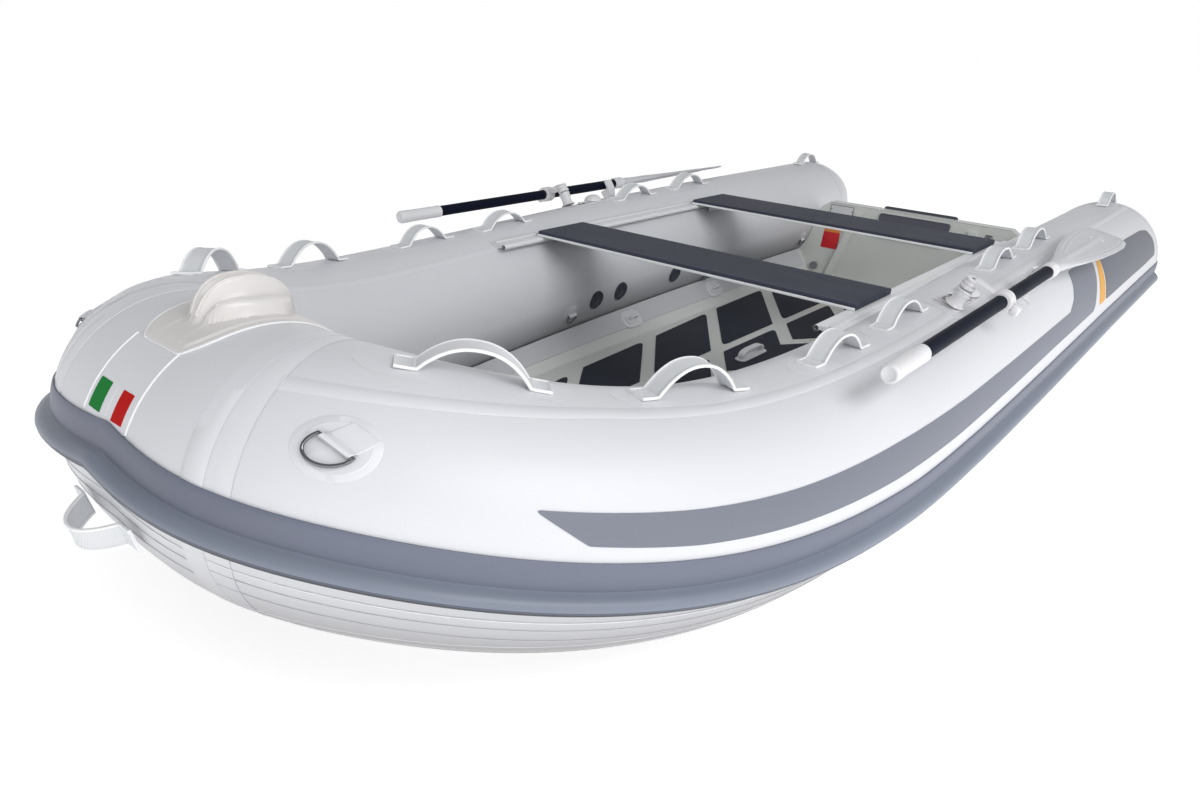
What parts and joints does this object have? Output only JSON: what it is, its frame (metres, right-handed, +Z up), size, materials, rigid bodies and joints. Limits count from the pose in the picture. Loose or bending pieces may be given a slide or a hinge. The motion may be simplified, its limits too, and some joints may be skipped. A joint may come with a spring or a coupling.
{
  "type": "inflatable boat",
  "caption": "Rigid-hull inflatable boat with a V hull, grab handles, sliding bench seats, swivelling oars and a transom for an outboard motor.",
  "frame": {"origin": "centre of the overall box in plan, at the underside of the keel guard, where the boat stands", "axes": "+X towards the bow, +Y to port, +Z up"},
  "size_m": [3.7271, 1.717, 0.6873],
  "materials": {
    "tube_fabric": "coated PVC fabric, satin",
    "cap_plastic": "moulded, satin",
    "strake_rubber": "extruded PVC, satin",
    "hull_gelcoat": "gelcoat, glossy",
    "keel_rubber": "satin",
    "deck_gelcoat": "gelcoat, semi-gloss",
    "pad_plastic": "moulded, matt",
    "plate_blank": "plain satin plate",
    "fitting_white": "moulded nylon, satin",
    "rail_white": "extruded PVC, satin",
    "seat_slate": "ribbed, satin",
    "bracket_steel": "stainless, polished",
    "shaft_navy": "anodised dark, satin",
    "webbing_white": "moulded rubber webbing"
  },
  "bodies": {
    "root": {"tube_port": "tube_fabric", "tube_starboard": "tube_fabric", "tube_bow": "tube_fabric", "cone_port": "tube_fabric", "cone_starboard": "tube_fabric", "cone_caps": "cap_plastic", "rub_strake_port": "strake_rubber", "rub_strake_starboard": "strake_rubber", "rub_strake_bow": "strake_rubber", "hull_bottom": "hull_gelcoat", "keel_guard": "keel_rubber", "stem_guard": "keel_rubber", "floor_deck": "deck_gelcoat", "bow_step": "hull_gelcoat", "inner_skirt_port": "tube_fabric", "inner_skirt_starboard": "tube_fabric", "transom": "deck_gelcoat", "transom_pillars": "deck_gelcoat", "motor_pad_inner": "pad_plastic", "motor_pad_outer": "pad_plastic", "capacity_plate": "plate_blank", "drain_plug": "fitting_white", "stern_tow_eyes": "bracket_steel", "seat_rail_port": "rail_white", "seat_rail_starboard": "rail_white", "rowlock_base_port": "fitting_white", "rowlock_base_starboard": "fitting_white", "oar_rest_port": "fitting_white", "oar_rest_starboard": "fitting_white", "grab_handles_port": "webbing_white", "grab_handles_starboard": "webbing_white", "tow_handle_bow": "webbing_white", "bow_fitting": "fitting_white", "d_rings_port": "bracket_steel", "d_rings_starboard": "bracket_steel", "valves_port": "cap_plastic", "valves_starboard": "cap_plastic", "deck_lugs": "fitting_white"},
    "seat_forward_body": {"seat_forward": "seat_slate", "seat_forward_brackets": "bracket_steel"},
    "seat_aft_body": {"seat_aft": "seat_slate", "seat_aft_brackets": "bracket_steel"},
    "oar_port": {"oar_shaft_port": "shaft_navy", "oar_grip_port": "fitting_white", "oar_ferrule_port": "fitting_white", "oar_blade_port": "fitting_white", "oar_swivel_port": "fitting_white"},
    "oar_starboard": {"oar_shaft_starboard": "shaft_navy", "oar_grip_starboard": "fitting_white", "oar_ferrule_starboard": "fitting_white", "oar_blade_starboard": "fitting_white", "oar_swivel_starboard": "fitting_white"}
  },
  "joints": [
    {"name": "seat_forward_slide", "type": "slide", "parent": "root", "child": "seat_forward_body", "axis": [1, 0, 0], "range_m": [-0.3, 0.05]},
    {"name": "seat_aft_slide", "type": "slide", "parent": "root", "child": "seat_aft_body", "axis": [1, 0, 0], "range_m": [-0.03, 0.22]},
    {"name": "oar_port_swing", "type": "hinge", "parent": "root", "child": "oar_port", "pos_m": [0.2344, 0.69226, 0.54093], "axis": [0, -0.4226, -0.9063], "range_deg": [0, 125]},
    {"name": "oar_starboard_swing", "type": "hinge", "parent": "root", "child": "oar_starboard", "pos_m": [0.0444, -0.70705, 0.53705], "axis": [0, -0.4772, 0.8788], "range_deg": [0, 125]}
  ]
}
